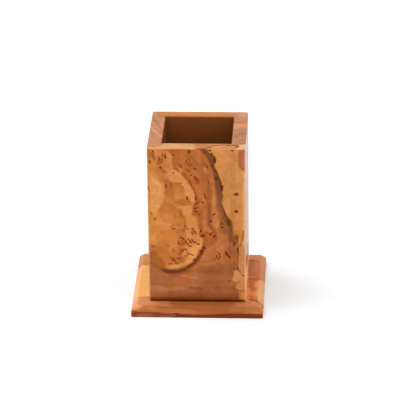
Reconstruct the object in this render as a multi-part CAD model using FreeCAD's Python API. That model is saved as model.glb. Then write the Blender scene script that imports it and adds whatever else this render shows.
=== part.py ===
"""A small square pen stand of burl wood: four rabbeted wall boards and a floor board on a bevelled plinth.

Millimetres, +Z up. The origin is the middle of the plinth's underside, and the front faces -Y.
Each piece is written as its own STEP file in parts/.
"""

import FreeCAD
import Part

import math
import os

# Driving sizes -------------------------------------------------------------------------------------

box_width = 55.0  # outer width and depth of the pen box
box_height = 94.0  # height of the wall boards
wall = 8.0  # thickness of the wall boards
tongue = 4.0  # what each rabbet leaves of its board, which covers the end of the next board
corner_round = 1.2  # upright outer corners of the box
rim_round = 0.7  # outer edge of the rim
mouth_round = 0.5  # inner edge of the rim
foot_round = 1.0  # lower outer edge of the walls, where they meet the plinth

floor_thickness = 6.0
glue_gap = 0.1  # between the floor board and each wall

plinth_width = 75.0
plinth_thickness = 6.0
bevel = 3.0  # width and drop of the bevel round the plinth's top
plinth_corner_round = 1.2  # upright corners of the plinth
plinth_edge_round = 0.7  # upper and lower edges of the bevel
plinth_sole_round = 0.4  # edge that meets the table

screw_length = 20.0
screw_radius = 1.5  # outside of the thread
screw_core_radius = 1.05
screw_head_radius = 3.0
screw_head_rim = 0.3  # straight part of the head, above its cone
screw_pitch = 1.35
screw_plain_neck = 2.0  # stretch under the head with no thread
screw_tip = 3.0
screw_sink = 0.3  # how far the heads lie above the plinth's underside
screw_clearance = 0.05  # all round the screw, in the plinth and in the walls
recess_span = 3.0  # of the cross in each head, from end to end
recess_slot = 0.7
recess_depth = 1.1

# Places that follow from the sizes -----------------------------------------------------------------

box_half = box_width / 2
mouth_half = box_half - wall
walls_bottom = plinth_thickness
walls_top = walls_bottom + box_height
screw_circle = box_half - wall / 2  # from the middle of the stand to each screw: mid-wall

UP = FreeCAD.Vector(0, 0, 1)
MIDDLE = FreeCAD.Vector(0, 0, 0)
NEAR = 1e-4


def square_block(half, low, high):
    """A block on a square of 2 x half, centred on the Z axis."""
    corner = FreeCAD.Vector(-half, -half, low)
    return Part.makeBox(2 * half, 2 * half, high - low, corner)


def upright_edges(solid):
    """Straight edges that run parallel to Z."""
    found = []
    for edge in solid.Edges:
        box = edge.BoundBox
        if max(box.XLength, box.YLength) < NEAR and box.ZLength > NEAR:
            found.append(edge)
    return found


def level_edges(solid, height, within=math.inf):
    """Edges that lie at one height and inside a square of 2 x within, centred on the Z axis."""
    found = []
    for edge in solid.Edges:
        box = edge.BoundBox
        level = max(abs(box.ZMin - height), abs(box.ZMax - height)) < NEAR
        reach = max(-box.XMin, box.XMax, -box.YMin, box.YMax)
        if level and reach < within + NEAR:
            found.append(edge)
    return found


# Wall boards ---------------------------------------------------------------------------------------


def walls_as_glued():
    """The four walls as one ring with its edges eased, as they are after gluing and sanding."""
    block = square_block(box_half, walls_bottom, walls_top)
    block = block.makeFillet(corner_round, upright_edges(block))
    block = block.makeFillet(rim_round, level_edges(block, walls_top))
    block = block.makeFillet(foot_round, level_edges(block, walls_bottom))
    ring = block.cut(square_block(mouth_half, walls_bottom - 1, walls_top + 1))
    return ring.makeFillet(mouth_round, level_edges(ring, walls_top, within=mouth_half))


def front_blank():
    """The space of the front board: full thickness to its plain right end, and a tongue at its left end."""
    outline = [
        (-box_half, -box_half),
        (box_half - tongue, -box_half),
        (box_half - tongue, -mouth_half),
        (-mouth_half, -mouth_half),
        (-mouth_half, -box_half + tongue),
        (-box_half, -box_half + tongue),
    ]
    points = [FreeCAD.Vector(x, y, walls_bottom) for x, y in outline]
    face = Part.Face(Part.makePolygon(points + points[:1]))
    return face.extrude(UP * box_height)


def wall_boards():
    """The boards by name, each a quarter turn on from the one before: every tongue covers its neighbour's end."""
    ring = walls_as_glued()
    for hole in screw_spaces():
        ring = ring.cut(hole)
    boards = {}
    for turns, name in enumerate(["front_panel", "right_panel", "back_panel", "left_panel"]):
        blank = front_blank()
        blank.rotate(MIDDLE, UP, 90 * turns)
        boards[name] = ring.common(blank)
    return boards


def floor_panel():
    """The floor board, glued between the walls and level with their lower ends."""
    return square_block(mouth_half - glue_gap, walls_bottom, walls_bottom + floor_thickness)


# Plinth --------------------------------------------------------------------------------------------


def plinth():
    """The bevelled base board, with a countersunk hole for each screw."""
    half = plinth_width / 2
    board = square_block(half, 0, plinth_thickness)
    board = board.makeChamfer(bevel, level_edges(board, plinth_thickness))
    board = board.makeFillet(plinth_edge_round, level_edges(board, plinth_thickness - bevel))
    board = board.makeFillet(plinth_edge_round, level_edges(board, plinth_thickness))
    board = board.makeFillet(plinth_sole_round, level_edges(board, 0))
    corners = square_block(half, 0, plinth_thickness)
    board = board.common(corners.makeFillet(plinth_corner_round, upright_edges(corners)))
    for hole in screw_spaces():
        board = board.cut(hole)
    return board


# Screws --------------------------------------------------------------------------------------------


def at_each_screw(shape):
    """Copies of a shape made at the Z axis, one under the middle of each wall."""
    copies = []
    for turn in range(4):
        angle = math.radians(90 * turn)
        copy = shape.copy()
        copy.translate(FreeCAD.Vector(math.cos(angle), math.sin(angle), 0) * screw_circle)
        copies.append(copy)
    return copies


def turned(profile):
    """The solid that a list of (radius, height) points makes when it is turned about Z."""
    points = [FreeCAD.Vector(radius, 0, height) for radius, height in profile]
    face = Part.Face(Part.makePolygon(points + points[:1]))
    return face.revolve(MIDDLE, UP, 360)


def screw_spaces():
    """The countersunk holes, open below: the screw's outline with its clearance all round."""
    head = screw_head_radius + screw_clearance
    shank = screw_radius + screw_clearance
    cone_low = screw_sink + screw_head_rim
    cone_high = cone_low + head - shank
    top = screw_sink + screw_length + screw_clearance
    profile = [(0, -1), (head, -1), (head, cone_low), (shank, cone_high), (shank, top - screw_tip), (0, top)]
    return at_each_screw(turned(profile))


def screw():
    """One countersunk wood screw, head down, with its thread as rings."""
    cone_low = screw_sink + screw_head_rim
    cone_high = cone_low + screw_head_radius - screw_core_radius
    thread_end = screw_sink + screw_length - screw_tip
    profile = [(0, screw_sink), (screw_head_radius, screw_sink), (screw_head_radius, cone_low)]
    profile.append((screw_core_radius, cone_high))
    height = cone_high + screw_plain_neck
    while height + screw_pitch < thread_end:
        profile.append((screw_core_radius, height))
        profile.append((screw_radius, height + screw_pitch / 2))
        height += screw_pitch
    profile.append((screw_core_radius, height))
    profile.append((0, screw_sink + screw_length))
    body = turned(profile)
    for span_x, span_y in [(recess_span, recess_slot), (recess_slot, recess_span)]:
        corner = FreeCAD.Vector(-span_x / 2, -span_y / 2, screw_sink - 1)
        body = body.cut(Part.makeBox(span_x, span_y, recess_depth + 1, corner))
    return body


# Writing the parts ---------------------------------------------------------------------------------


def main():
    os.makedirs("parts", exist_ok=True)
    parts = wall_boards()
    parts["floor_panel"] = floor_panel()
    parts["plinth"] = plinth()
    parts["plinth_screws"] = Part.makeCompound(at_each_screw(screw()))
    for name, shape in parts.items():
        shape.exportStep(f"parts/{name}.step")
        print(name, len(shape.Solids), "solid(s)", round(shape.Volume, 1), "mm3", shape.isValid())


main()
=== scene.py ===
"""Looks of a burl-wood pen stand: its boards, their figure, the floor under it, the light and the camera.

Lengths in this script are millimetres, in the frame of the solids, unless a name says metres. The figure
of the wood is worked out point by point on finely cut copies of the boards, as colours and as distances
to its eyes and seams. The materials read those, and add the fibres, pores, gloss and relief with nodes.
"""

import math

import bmesh
import bpy
import numpy as np
from mathutils import Matrix, Vector


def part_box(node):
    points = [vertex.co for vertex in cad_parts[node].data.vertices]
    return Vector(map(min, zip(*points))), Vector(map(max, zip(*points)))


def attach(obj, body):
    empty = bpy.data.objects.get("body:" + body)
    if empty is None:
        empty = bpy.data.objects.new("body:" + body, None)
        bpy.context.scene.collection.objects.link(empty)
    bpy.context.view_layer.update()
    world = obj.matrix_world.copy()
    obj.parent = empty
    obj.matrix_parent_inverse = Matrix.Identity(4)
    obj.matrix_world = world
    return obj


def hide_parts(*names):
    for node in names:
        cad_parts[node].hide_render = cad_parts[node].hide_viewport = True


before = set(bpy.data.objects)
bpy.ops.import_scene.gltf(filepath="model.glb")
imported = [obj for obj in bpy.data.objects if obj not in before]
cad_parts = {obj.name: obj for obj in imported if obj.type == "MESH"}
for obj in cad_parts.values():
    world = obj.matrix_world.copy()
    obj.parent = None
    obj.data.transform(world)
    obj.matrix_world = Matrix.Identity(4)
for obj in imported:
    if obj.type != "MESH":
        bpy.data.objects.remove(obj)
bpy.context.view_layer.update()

MM = 0.001  # metres to a millimetre

# Places taken from the solids ----------------------------------------------------------------------

front_low, front_high = (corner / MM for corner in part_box("front_panel"))
plinth_low, plinth_high = (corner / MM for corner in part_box("plinth"))
BOX_HALF = -front_low.y  # from the middle of the stand to each wall's outer face
RIM = front_high.z
FOOT = front_low.z  # the walls' lower end, on the plinth
SEAM = front_high.x  # where the front board's plain end meets the right board's tongue
MOUTH_HALF = -front_high.y  # from the middle to each wall's inner face
TONGUE = BOX_HALF - SEAM

# Colours of the wood, as sRGB of 0 to 255 ----------------------------------------------------------

GOLD = (208, 131, 67)
ROSE = (178, 101, 49)
BARK = (90, 44, 18)
EYE = (119, 44, 0)
SMUDGE = (146, 74, 26)
EDGE_SHADE = (150, 78, 36)  # just outside the gold
EDGE_GLINT = (226, 154, 86)  # just inside it
GOLD_SHADE = (176, 100, 48)
TAN, TAN_TOP, TAN_LOW = (202, 130, 69), (206, 137, 80), (188, 117, 57)  # right of the vein
VEIN_BROWN, VEIN_WORN, VEIN_SIDE = (121, 70, 40), (135, 81, 51), (154, 86, 48)
STRIP, STRIP_PALE, STRIP_TOP = (201, 133, 71), (216, 150, 98), (178, 101, 63)  # right of the seam
STRIP_LINE, STRIP_MIDDLE, STRIP_LOW = (152, 86, 48), (196, 128, 80), (182, 108, 58)
# Painted shade: the dark line along the strip's foot, where it meets the plinth.
STRIP_FOOT_SHADE = (126, 64, 16)
# Painted light on the right wall's outside: paler near the front, palest low down.
RIGHT_PAINTED_LIGHT = (222, 152, 98)
LOW_PAINTED_LIGHT = (255, 191, 138)  # painted light low on the right wall
RIM_WOOD = (195, 123, 66)
# Painted shade: the walls' inner faces are painted darker than the outside.
INNER_SHADE = (133, 76, 38)
ARRIS_HIGHLIGHT = (236, 172, 116)  # painted highlight on the box's rounded upright corners
PLINTH_WOOD = (203, 118, 56)
PLINTH_SLIVER = (230, 164, 116)  # the lit line beside the right wall's foot
CONTACT_SHADE = (66, 24, 6)  # painted shade: the dark line at the front and back walls' foot
UNDERSIDE = (188, 116, 62)
VEIL = 0.004  # what the wax's reflection of the white room adds, taken off the colours below it
RIGHT_VEIL = 0.02
NO_MARK = 9.0  # the distance, in mm, kept for places far from any eye or seam


def linear(colour):
    """sRGB of 0 to 255 as linear values of 0 to 1."""
    c = np.clip(np.asarray(colour, float) / 255, 0, 1)
    return np.where(c <= 0.04045, c / 12.92, ((c + 0.055) / 1.055) ** 2.4)


# Fields: smooth functions of many points at once ---------------------------------------------------


def lattice(x, y, z, seed):
    """A repeatable random value from -1 to 1 for each whole-numbered point."""
    h = (x * 374761393 + y * 668265263 + z * 1440662683 + seed * 1274126177) & 0xFFFFFFFF
    h = ((h ^ (h >> 13)) * 1274126177) & 0xFFFFFFFF
    h = ((h ^ (h >> 15)) * 739982445) & 0xFFFFFFFF
    return ((h ^ (h >> 16)) & 0xFFFF) / 32767.5 - 1


def noise(p, size, seed, octaves=1):
    """Smooth noise, about -1 to 1, whose largest waves are `size` wide. p has one point to a row."""
    total, gain, gains = np.zeros(len(p)), 1.0, 0.0
    for octave in range(octaves):
        q = p / size * 2**octave + 31.7 * octave
        cell = np.floor(q).astype(np.int64)
        f = q - cell
        f = f * f * f * (f * (6 * f - 15) + 10)
        for corner in range(8):
            step = [corner & 1, corner >> 1 & 1, corner >> 2]
            weight = np.prod([f[:, k] if step[k] else 1 - f[:, k] for k in range(3)], axis=0)
            total += gain * weight * lattice(*(cell + step).T, seed + octave)
        gains += gain
        gain /= 2
    return 1.6 * total / gains


def drift(p, size, reach, seed):
    """Points moved about by smooth noise."""
    return p + reach * np.column_stack([noise(p, size, seed + 5 * k, 2) for k in range(3)])


def ramp(start, end, x):
    """0 before start, 1 after end, smooth between. start may be the larger."""
    t = np.clip((x - start) / (end - start), 0, 1)
    return t * t * (3 - 2 * t)


def paint(under, over, weight):
    """One colour, or one to a point, laid over others by weight."""
    return under + (np.asarray(over, float) - under) * weight[:, None]


def curve(points, closed=False, steps=4):
    """Points along a smooth curve through the given ones."""
    given = np.array(points, float)
    n = len(given)
    found = []
    for i in range(n if closed else n - 1):
        if closed:
            a, b, c, d = (given[(i + k) % n] for k in (-1, 0, 1, 2))
        else:
            a, b, c, d = (given[min(max(i + k, 0), n - 1)] for k in (-1, 0, 1, 2))
        for t in np.arange(steps) / steps:
            cubic = (3 * b - a - 3 * c + d) * t**3
            found.append(0.5 * (2 * b + (c - a) * t + (2 * a - 5 * b + 4 * c - d) * t**2 + cubic))
    if not closed:
        found.append(given[-1])
    return np.array(found)


def reach_of(q, line, closed=False):
    """For each point of q, the distance to a line of points, and how far along it the nearest place is."""
    starts = line if closed else line[:-1]
    ends = np.roll(line, -1, 0) if closed else line[1:]
    best, along = np.full(len(q), np.inf), np.zeros(len(q))
    for i, (a, b) in enumerate(zip(starts, ends)):
        t = np.clip((q - a) @ (b - a) / ((b - a) @ (b - a)), 0, 1)
        far = np.hypot(*(q - a - t[:, None] * (b - a)).T)
        nearer = far < best
        best = np.where(nearer, far, best)
        along = np.where(nearer, (i + t) / len(starts), along)
    return best, along


def depth_in(q, points, margin=4.0):
    """How far each point of q lies inside a smooth closed outline; negative outside, down to -margin."""
    line = curve(points, closed=True)
    near = ((q > line.min(0) - margin) & (q < line.max(0) + margin)).all(1)
    some = q[near]
    odd = np.zeros(len(some), bool)
    for a, b in zip(line, np.roll(line, -1, 0)):
        if a[1] != b[1]:
            crossing = a[0] + (some[:, 1] - a[1]) / (b[1] - a[1]) * (b[0] - a[0])
            odd ^= ((a[1] > some[:, 1]) != (b[1] > some[:, 1])) & (some[:, 0] < crossing)
    far, _ = reach_of(some, line, closed=True)
    depth = np.full(len(q), -margin)
    depth[near] = np.maximum(np.where(odd, far, -far), -margin)
    return depth


# Figure of the wood --------------------------------------------------------------------------------


def fill(colour, s, patches):
    """Patches laid over a colour in turn: each an outline, a colour, a weight and how softly it sets in."""
    for outline, tint, weight, soft in patches:
        colour = paint(colour, tint, weight * ramp(-0.35 * soft, 0.65 * soft, depth_in(s, outline)))
    return colour


def plain(colour, p):
    """One colour for every point."""
    return np.tile(np.array(colour, float), (len(p), 1))


def cast_edge(colour, edge, outer, cast):
    """The dark line and soft shade just outside a golden zone, and the pale line just inside it."""
    colour = paint(colour, EDGE_SHADE, 0.75 * cast * ramp(3.4, 0.6, edge) * ramp(-0.3, 0.4, outer))
    line = ramp(1.5, 0.35, np.abs(edge - 0.5)) * ramp(-0.5, 0.4, outer)
    colour = paint(colour, BARK, 0.9 * cast**2 * line)
    glint = ramp(1.1, 0.2, np.abs(edge - 1.8)) * ramp(0.2, -0.6, outer)
    return paint(colour, EDGE_GLINT, 0.5 * cast * glint)


# Places on the front board are (mm from its left edge, mm below the rim).

GOLD_EDGE = [
    (13.5, -3), (13.8, 4), (14.9, 10.5), (18.6, 15.4), (22.4, 19.6), (25.1, 24.2), (26.8, 29), (26.4, 32.5),
    (25.2, 36), (26.2, 40), (27.4, 43.6), (28.2, 48), (29.4, 51.5), (30.8, 55.5), (30.8, 59.5), (29, 64),
    (26.6, 68.4), (23.2, 71.6), (19.4, 73.8), (15.2, 74.9), (11, 74.6), (5, 72.6), (-3, 70),
]
BEYOND = [(-3, 98), (60, 98), (60, -3)]  # closes the outline round the darker side
EDGE_CAST = (  # shares of the way along the gold's edge, and how strong its line and shade are there
    (0, 0.15, 0.3, 0.4, 0.6, 0.68, 0.76, 0.89, 0.94, 1),
    (0.15, 0.2, 0.5, 0.3, 0.4, 0.85, 1, 1, 0.5, 0.2),
)
# At each of LEVELS, in mm below the rim, the figure lies LEVEL_SHIFTS below its given place.
LEVELS = (0, 10, 26, 57, 72, 86)
LEVEL_SHIFTS = (0.4, 0.4, 0.0, -0.25, -0.45, 0.0)
HUE_DRIFT = np.array((0.015, 0.035, 0.09))  # how far the red, green and blue wander from place to place
GOLDEN = [
    ([(2.6, 17), (6, 18.6), (8.4, 22), (8.9, 28), (8, 34), (6, 38), (3.4, 42), (1.6, 42), (0.6, 30),
      (1.4, 20)],
     (221, 149, 86), 1, 2.6),
    ([(-2, 8), (1.2, 8), (1.7, 20), (1.6, 34), (2.4, 50), (1, 58), (-2, 58)], (202, 130, 60), 0.85, 1.6),
    ([(-2, 43), (5, 43.6), (9, 46), (13, 47.2), (16, 48), (12, 49), (8.4, 49.6), (5.6, 52), (4, 57),
      (-2, 58)],
     (213, 135, 70), 0.9, 1.8),
    ([(-1, 39), (4.6, 40), (5, 44.5), (-1, 46)], (202, 126, 54), 0.9, 1.6),
    ([(-2, 4), (2, -2), (8.5, -2), (8.8, 4), (9.8, 9), (10.4, 14), (11.2, 19), (9.4, 22), (6.6, 20), (4, 16),
      (1, 13), (-2, 12)], (198, 119, 61), 0.95, 2.6),
    ([(4.6, 0), (8.2, 0), (8, 4), (5.4, 4.6), (4.4, 3)], (208, 132, 80), 0.8, 1.4),
    ([(6, 9.6), (9.4, 9.6), (10, 13.6), (9.6, 18), (6.4, 17.6), (5.4, 13)], (190, 112, 52), 0.7, 2.4),
    ([(-1, -2), (2.9, -2), (2.9, 3), (1.6, 7), (-1, 7)], (180, 108, 52), 0.85, 1.2),
    ([(9.2, 19.6), (12, 18.6), (14, 20.5), (14, 24), (13.9, 30), (15, 33.5), (18.6, 36), (19.2, 39),
      (20.4, 42),
      (21.2, 46.4), (20, 48.6), (16, 48), (12, 46), (8.8, 44.6), (6.6, 41), (5.8, 37.6), (7.4, 34.8), (9, 31),
      (9.2, 25)], (193, 114, 54), 1, 1.9),
    ([(9.4, 18.6), (12.4, 18.4), (13.6, 20.6), (13.4, 24), (12.4, 27.4), (10.2, 28), (9.4, 23)],
     (178, 102, 52), 0.9, 1.6),
    ([(8.6, 40), (12, 40), (14.4, 42), (14, 45.6), (11, 45.4), (8.4, 43)], (207, 125, 65), 0.85, 2.2),
    ([(14.6, 37), (19, 37.6), (20.6, 42), (21, 47.6), (17, 48), (14.6, 43)], (186, 108, 48), 0.75, 2),
    ([(9.5, 1.4), (13.4, 1.2), (13.9, 5), (14.9, 10.5), (18.6, 15.4), (22.4, 19.6), (25.4, 24), (27, 28.4),
      (26.6, 31.4), (24.8, 32.8), (23.8, 31), (23.6, 28.6), (21.6, 28.4), (20.8, 26.4), (20.1, 23.4),
      (18.6, 21), (15.6, 20.3), (13.4, 20.3), (11.6, 18.4), (10.8, 14), (10.2, 9)], (213, 137, 75), 1, 1),
    ([(9, -3), (13.4, -3), (13.8, 1.2), (11.6, 1.4), (9.6, 1)], (184, 104, 50), 0.9, 1.2),
    ([(9.4, 2), (13, 2), (13.4, 5), (13.8, 9), (13, 12.4), (11, 12), (9.8, 8)], (200, 124, 66), 0.9, 1.6),
    ([(19.4, 18.4), (22.4, 20.4), (25.2, 24.4), (26.4, 28.6), (24.4, 28), (22, 27.6), (21, 24), (19, 21.4)],
     (207, 133, 75), 0.9, 1.4),
    ([(13.7, 20.7), (18.4, 21.2), (20, 23.6), (20.7, 26.6), (21.6, 28.8), (23.4, 31), (25, 33), (23, 34.6),
      (18.6, 34.6), (15.8, 33), (14, 30), (13.7, 25)], (195, 117, 58), 1, 0.8),
    ([(15, 25.6), (17.4, 24.6), (19.4, 26.5), (20, 29.6), (18, 31.4), (15.2, 30.6)],
     (202, 123, 62), 0.9, 2),
    ([(13.8, 20.7), (18.4, 21), (19.4, 22.6), (17, 23), (14, 23.4)], (183, 107, 46), 0.8, 1),
    ([(15.2, 32), (18.6, 31), (22, 31.4), (25, 32.4), (24.4, 34.6), (19, 34.8), (16, 33.8)],
     (180, 104, 45), 0.9, 1.2),
    ([(4.6, 57), (5.2, 52.6), (7.6, 50), (11.5, 49.2), (15.4, 49.2), (18.6, 51), (20.4, 55), (20.6, 60),
      (18.6, 64.6), (13, 66), (7, 64), (5, 61)], (201, 118, 56), 1, 1.6),
    ([(15.4, 50), (18.4, 48.4), (20.6, 49.4), (21.9, 52), (22.4, 56), (21, 60.5), (17.5, 60), (16.5, 55)],
     (187, 107, 50), 0.85, 2),
    ([(-2, 58.6), (3, 58.4), (8, 60.4), (13, 63), (18.6, 64.6), (20, 68), (18.6, 70.6), (13, 72.4), (8, 74),
      (3, 72.6), (-2, 71)], (190, 110, 53), 0.95, 2.2),
    ([(-2, 63.5), (3, 63), (6.5, 66.5), (9, 70), (10, 74.4), (4, 73), (-2, 71)], (161, 87, 40), 0.9, 2),
    ([(19.6, 36), (23.4, 35.8), (24.6, 38), (23, 41.4), (20.6, 41), (19.6, 39)], (214, 141, 90), 0.8, 1.4),
    ([(24.6, 60), (27.5, 59), (30, 58.6), (29.6, 62), (27.4, 66.5), (24, 70.4), (20, 72.6), (18.6, 73.4),
      (21.6, 70.4),
      (22.6, 67), (23, 62)], (220, 146, 80), 0.9, 1.2),
    ([(17.4, 66.4), (19.6, 66.4), (20.8, 67.6), (20.6, 69.6), (18.6, 71), (15.4, 71.4), (15.4, 69.8),
      (17.4, 69)],
     (168, 92, 42), 0.85, 1.4),
    ([(14.4, 67.4), (18.6, 67), (18.6, 69.4), (15, 69.6)], (176, 96, 52), 0.7, 1.2),
]
MIDDLE = [
    ([(13, -3), (19, -3), (19, 4), (18, 9), (16.4, 12), (14.6, 10.5), (13.6, 4)], (173, 91, 46), 0.9, 2.4),
    ([(18.4, 2), (22, 1), (23.6, 3), (24, 8), (21, 10), (19, 7)], (188, 110, 56), 0.8, 2.4),
    ([(17.6, 10.6), (19.4, 11.8), (20.4, 14), (19.4, 15.2), (17.6, 13.6)], (204, 126, 76), 0.7, 1),
    ([(19.4, 13.4), (22, 14.4), (24, 18), (25.6, 21), (27.6, 26), (28.6, 30), (27, 30), (26, 27),
      (23.6, 21.6),
      (20.6, 17)], (162, 84, 38), 0.7, 1.4),
    ([(25.4, 16.6), (27, 18.4), (29.4, 19), (29, 21), (27, 21.6), (25.6, 19)], (160, 80, 44), 0.8, 1.4),
    ([(25.4, 13), (28.4, 13.4), (29, 16.4), (26.4, 16)], (186, 104, 62), 0.7, 1.4),
    ([(31, 11), (32.6, 10), (33.6, 12), (34.2, 14), (32.6, 14.4), (31.4, 13)], (209, 129, 80), 0.9, 1.2),
    ([(31, 0), (34, 5), (34.6, 9), (32, 8), (30.6, 4)], (184, 104, 56), 0.7, 1.2),
    ([(33.4, 22), (36, 22), (36, 30), (35.6, 36), (34, 40), (33, 32)], (158, 85, 41), 0.75, 1.4),
    ([(36.3, 29), (37.4, 26), (38.4, 29), (38.8, 34), (39, 39), (40, 43), (41, 46), (39, 48.6), (37, 47),
      (36.2, 40),
      (36, 33)], (200, 122, 68), 1, 0.9),
    ([(28.6, 39), (30.6, 37), (31, 42), (31, 48), (30.4, 52), (29.2, 49), (28.8, 44)],
     (160, 84, 42), 0.95, 1),
    ([(33.4, 38), (35, 38), (35.6, 42), (36, 49), (34, 49), (33.2, 44)], (158, 84, 42), 0.9, 0.9),
    ([(31.2, 38), (33, 38), (33.2, 44), (33.4, 50), (31.6, 51), (31, 46)], (180, 104, 58), 0.9, 0.8),
    ([(33.8, 48), (35, 47.4), (36.2, 49.4), (36.6, 52.6), (35.8, 53.4), (35.4, 51), (34, 51)],
     (196, 116, 76), 0.8, 0.8),
    ([(31, 54), (35.4, 52), (39.6, 54), (39, 58), (35, 61.6), (31.6, 63), (31.8, 58)],
     (158, 85, 38), 0.8, 2.2),
    ([(31.4, 65), (34, 60), (38.5, 57), (40, 52), (44, 51.4), (46.4, 55), (46.6, 62), (44, 66), (39, 68.6),
      (33, 70.4), (29.6, 69.6)], (180, 105, 60), 0.95, 1.8),
    ([(42.4, 51.4), (45, 52), (45.2, 54.6), (43, 55)], (186, 104, 54), 0.8, 1.4),
    ([(40.6, 58.4), (44, 58), (44, 62), (41, 62.6)], (187, 112, 66), 0.8, 1.8),
    ([(45.6, 59), (49.6, 59), (50, 66), (47, 67), (45.4, 63)], (163, 92, 52), 0.9, 1.6),
    ([(29.5, 62), (31.4, 61), (31, 65), (29, 69), (26, 72.6), (24, 75), (22, 77), (22, 75), (25.6, 71.4),
      (28, 67)],
     (140, 74, 36), 0.9, 1.2),
    ([(45.2, 49.4), (47.5, 51), (48.4, 52.8), (51.4, 52.6), (51.8, 56), (51, 57.6), (49.6, 59), (48, 58.2),
      (46.8, 57), (45.8, 58), (45.2, 55)], (138, 77, 41), 1, 1.8),
    ([(50, 53), (51.6, 53), (51.4, 56), (50.2, 56)], (122, 66, 30), 0.8, 0.8),
    ([(41, 44), (45, 45), (47.6, 49), (46, 52.4), (41, 52), (39.6, 48)], (152, 88, 48), 0.9, 1.6),
    ([(49.8, 60), (51.4, 60), (51.6, 66), (51, 75), (49.6, 75), (49.9, 66)], (150, 80, 40), 0.85, 1),
]
LOWER = [
    ([(-3, 71), (6, 73.6), (12, 76.6), (19, 77), (24, 75.6), (30, 72.4), (60, 70), (60, 98), (-3, 98)],
     (171, 99, 57), 1, 1.6),
    ([(28, 75), (36, 71), (52, 70), (52, 98), (24, 98), (24, 90), (30, 84)], (158, 89, 48), 0.85, 4),
    ([(41, 75), (45, 75), (45.6, 86), (43, 92), (41, 86)], (168, 98, 54), 0.6, 2),
    ([(45.6, 82), (47.4, 84), (47, 90), (45.4, 92)], (172, 104, 60), 0.6, 1.4),
    ([(22, 75), (25.6, 73.6), (27, 74.4), (25, 76.4), (22, 76.8)], (176, 96, 44), 0.7, 1.2),
    ([(26, 73), (29, 70), (33, 69.6), (33, 72), (28, 76)], (160, 89, 50), 0.8, 1.6),
    ([(12, 76.6), (17, 77), (21, 77), (19, 79), (15, 79.6), (11, 78.6)], (148, 84, 52), 0.8, 1),
    ([(17, 78.6), (21, 78.2), (25, 79), (29, 79.8), (25, 80.4), (20, 80)], (198, 118, 76), 0.8, 0.7),
    ([(13, 80), (17, 79.6), (21.5, 81.6), (20, 83.6), (15, 83.2)], (182, 99, 52), 0.8, 1.6),
    ([(-3, 83.6), (6, 84.6), (12, 85.4), (19, 85), (20.6, 87), (14, 88), (6, 88.4), (-3, 87.6)],
     (188, 114, 74), 0.9, 1.6),
    ([(22.4, 85.6), (26, 85.4), (30.4, 86.2), (30, 87), (25, 86.8)], (142, 76, 40), 0.8, 0.5),
    ([(2, 91), (20, 90.2), (36, 89), (60, 90), (60, 98), (2, 98)], (150, 82, 42), 0.8, 2.4),
    # Painted shade: the dark band along the front's foot, where it meets the plinth.
    ([(-3, 92.4), (60, 92), (60, 98), (-3, 98)], (122, 66, 24), 0.8, 1),
]
# Thin dark or light lines: points, colour, weight, half width.
LINES = [
    ([(13.4, 21), (13.6, 24), (13.6, 28), (14.4, 31), (16, 33.2), (18, 34.4), (20.6, 35)],
     (168, 96, 40), 0.75, 0.5),
    ([(16.4, 35.9), (20, 35.4), (23, 35.5)], (218, 146, 88), 0.8, 0.4),
    ([(18.6, 21), (19.4, 21.6), (20, 22.6)], (226, 154, 102), 0.8, 0.5),
    ([(21.6, 26.4), (22.6, 27.2)], (228, 152, 100), 0.8, 0.6),
    ([(24.8, 25.6), (25, 29)], (198, 122, 68), 0.6, 0.3),
    ([(10.4, 2), (10.2, 9), (10.8, 14), (11.8, 18.2)], (182, 106, 52), 0.5, 0.5),
    ([(34.3, 33), (34.4, 38), (34.3, 44), (35, 48.4), (36.4, 50)], (142, 72, 34), 0.75, 0.45),
    ([(20, 41.2), (20.8, 44), (21.4, 47)], (172, 96, 40), 0.7, 0.5),
    ([(28.2, 1), (28.2, 3.8)], (156, 84, 38), 0.6, 0.35),
    ([(28, 69.6), (33, 69.4), (37, 68.6)], (156, 84, 42), 0.5, 0.5),
    ([(9, 75.3), (12.6, 76.3), (17, 76.3), (20.4, 75.1)], (110, 52, 31), 0.85, 1.2),
    ([(29, 71.4), (33, 71.2), (37, 70.6)], (184, 110, 66), 0.6, 0.6),
]
VEIN = [
    (-2, 27.5, 31), (0, 29.6, 33.4), (1.5, 31.2, 34.2), (3, 32.4, 36.8), (4, 33.2, 38), (5.5, 34.2, 38.6),
    (7.5, 35.2, 38.6), (8.6, 35.6, 37.6), (11, 36.2, 38), (14, 36.8, 39.2), (18, 37.2, 40.8),
    (23, 38.2, 41.8), (28, 38.8, 41.5), (33, 39.2, 41.7), (37, 40, 42.8), (40, 41, 44), (42, 41.5, 45.2),
    (43.5, 42.4, 46.7), (45, 43.6, 47.3), (48, 45.2, 47.4), (52, 45.4, 48),
]
TAN_FOOT = [
    (40, 38), (43.6, 41), (45.6, 43), (47.1, 45.4), (47.5, 49), (48, 51.4), (49, 52.5), (50, 52.2),
    (50.8, 52.6), (51.4, 51.6), (56, 50),
]
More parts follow.
